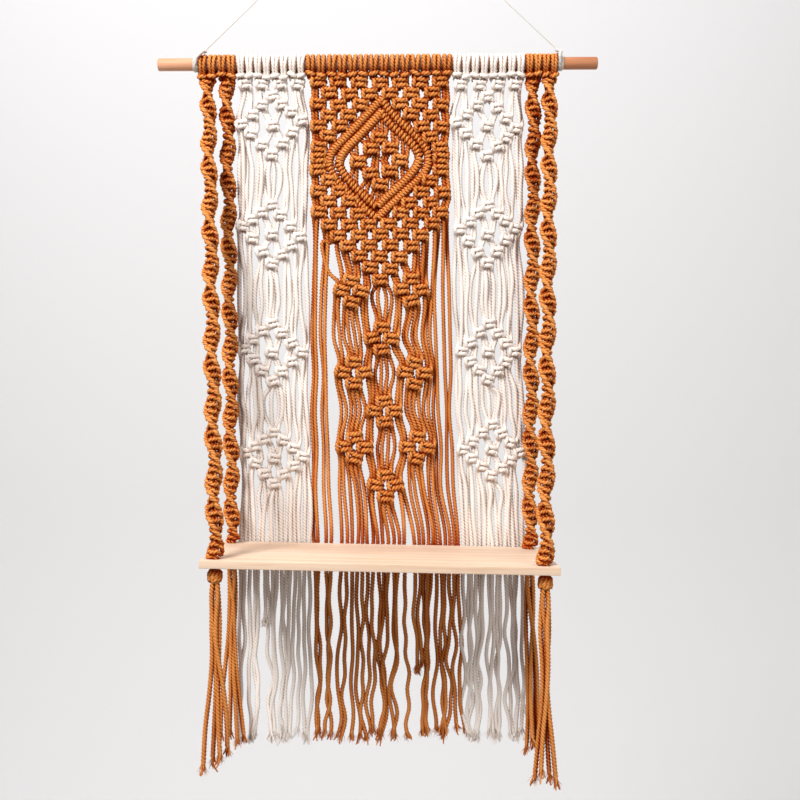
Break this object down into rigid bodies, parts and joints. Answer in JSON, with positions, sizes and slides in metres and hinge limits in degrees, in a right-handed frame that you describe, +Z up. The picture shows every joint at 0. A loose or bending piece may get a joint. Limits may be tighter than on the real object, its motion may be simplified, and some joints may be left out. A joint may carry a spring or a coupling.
{
  "type": "macrame wall hanging with dowel rod and hanging shelf board",
  "caption": "Knotted cotton panels with a long fringe on a wooden dowel, and a flat wooden shelf board hung in front of them on spiral-knotted ropes with tassels.",
  "frame": {"origin": "top of the hanging twine, where its middle goes over a nail", "axes": "+Z up, +X to the right as seen from the room, +Y into the wall"},
  "size_m": [0.482, 0.1655, 0.944],
  "materials": {
    "orange_cotton": "matt twisted cotton cord, burnt orange",
    "white_cotton": "matt twisted cotton cord, natural white",
    "white_twine": "thin pale cotton twine",
    "pine_wood": "sanded pale pine board with a thin clear finish",
    "dowel_wood": "stained dowel, satin, reddish tan"
  },
  "bodies": {
    "root": {"rod": "dowel_wood", "shelf_board": "pine_wood", "left_white_panel": "white_cotton", "centre_panel": "orange_cotton", "right_white_panel": "white_cotton", "hanger_front_left": "orange_cotton", "hanger_back_left": "orange_cotton", "hanger_back_right": "orange_cotton", "hanger_front_right": "orange_cotton", "tassel_front_left": "orange_cotton", "tassel_back_left": "orange_cotton", "tassel_back_right": "orange_cotton", "tassel_front_right": "orange_cotton", "hanging_twine": "white_twine"}
  },
  "joints": []
}
